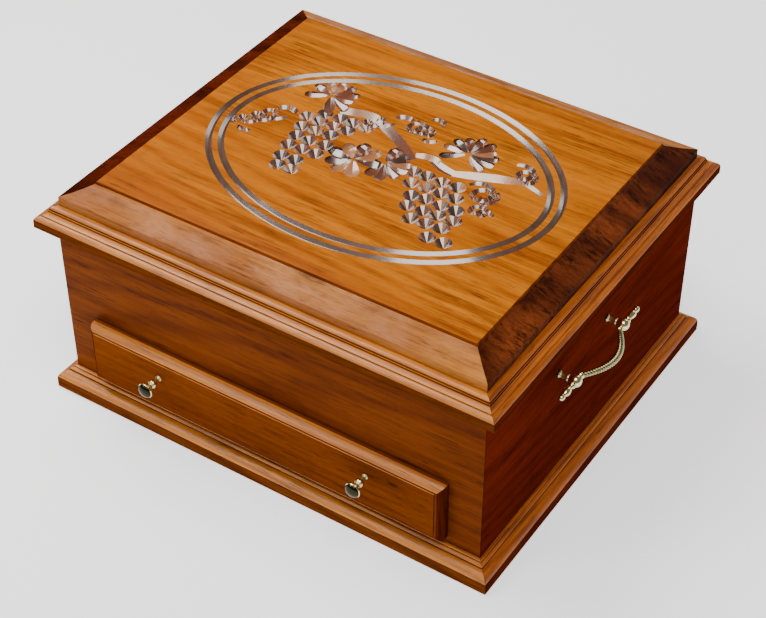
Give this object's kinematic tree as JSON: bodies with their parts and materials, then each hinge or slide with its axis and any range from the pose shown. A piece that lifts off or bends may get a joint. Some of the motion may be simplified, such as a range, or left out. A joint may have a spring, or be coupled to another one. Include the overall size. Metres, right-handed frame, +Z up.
{
  "type": "lidded keepsake chest",
  "caption": "Rectangular wooden keepsake chest with a carved raised-panel hinged lid, moulded frames, a lipped drawer low in the front and a swing handle on each end.",
  "frame": {"origin": "middle of the underside, at the bottom panel's lower face, on the body's own centre lines", "axes": "+Z up, +X to the right, the front with the drawer faces -Y"},
  "size_m": [0.4638, 0.3881, 0.2106],
  "materials": {
    "stained_cherry": "stained and varnished, satin gloss",
    "carved_panel": "amber stain with varnish, satin gloss, carved",
    "plain_wood": "sanded, clear sealer",
    "plywood": "birch-faced plywood, clear sealer",
    "brass": "polished"
  },
  "bodies": {
    "chest": {"base_back_rail": "stained_cherry", "base_front_rail": "stained_cherry", "base_left_rail": "stained_cherry", "base_right_rail": "stained_cherry", "body_back_board": "stained_cherry", "body_front_board": "stained_cherry", "body_left_board": "stained_cherry", "body_right_board": "stained_cherry", "bottom_panel": "plywood", "compartment_floor": "plywood", "left_drawer_runner": "plain_wood", "left_floor_cleat": "plain_wood", "left_handle_back_nut": "brass", "left_handle_back_post": "brass", "left_handle_front_nut": "brass", "left_handle_front_post": "brass", "left_hinge_body_leaf": "brass", "left_hinge_body_screw_1": "brass", "left_hinge_body_screw_2": "brass", "left_hinge_pin": "brass", "right_drawer_runner": "plain_wood", "right_floor_cleat": "plain_wood", "right_handle_back_nut": "brass", "right_handle_back_post": "brass", "right_handle_front_nut": "brass", "right_handle_front_post": "brass", "right_hinge_body_leaf": "brass", "right_hinge_body_screw_1": "brass", "right_hinge_body_screw_2": "brass", "right_hinge_pin": "brass"},
    "drawer": {"drawer_back": "plain_wood", "drawer_bottom": "plywood", "drawer_front": "stained_cherry", "drawer_left_side": "plain_wood", "drawer_right_side": "plain_wood", "left_knob": "brass", "left_knob_screw": "brass", "right_knob": "brass", "right_knob_screw": "brass"},
    "left_bail": {"left_handle_bail": "brass"},
    "lid": {"left_hinge_lid_leaf": "brass", "left_hinge_lid_screw_1": "brass", "left_hinge_lid_screw_2": "brass", "lid_back_rail": "stained_cherry", "lid_front_rail": "stained_cherry", "lid_left_rail": "stained_cherry", "lid_panel": "carved_panel", "lid_right_rail": "stained_cherry", "right_hinge_lid_leaf": "brass", "right_hinge_lid_screw_1": "brass", "right_hinge_lid_screw_2": "brass"},
    "right_bail": {"right_handle_bail": "brass"}
  },
  "joints": [
    {"name": "lid_hinge", "type": "hinge", "parent": "chest", "child": "lid", "pos_m": [0, 0.1737, 0.17255], "axis": [-1, 0, 0], "range_deg": [0, 100]},
    {"name": "drawer_slide", "type": "slide", "parent": "chest", "child": "drawer", "axis": [0, -1, 0], "range_m": [0, 0.22]},
    {"name": "right_bail_swing", "type": "hinge", "parent": "chest", "child": "right_bail", "pos_m": [0.215, -0.0225, 0.129], "axis": [0, 1, 0], "range_deg": [-85, 90]},
    {"name": "left_bail_swing", "type": "hinge", "parent": "chest", "child": "left_bail", "pos_m": [-0.215, -0.0225, 0.129], "axis": [0, -1, 0], "range_deg": [-85, 90]}
  ]
}
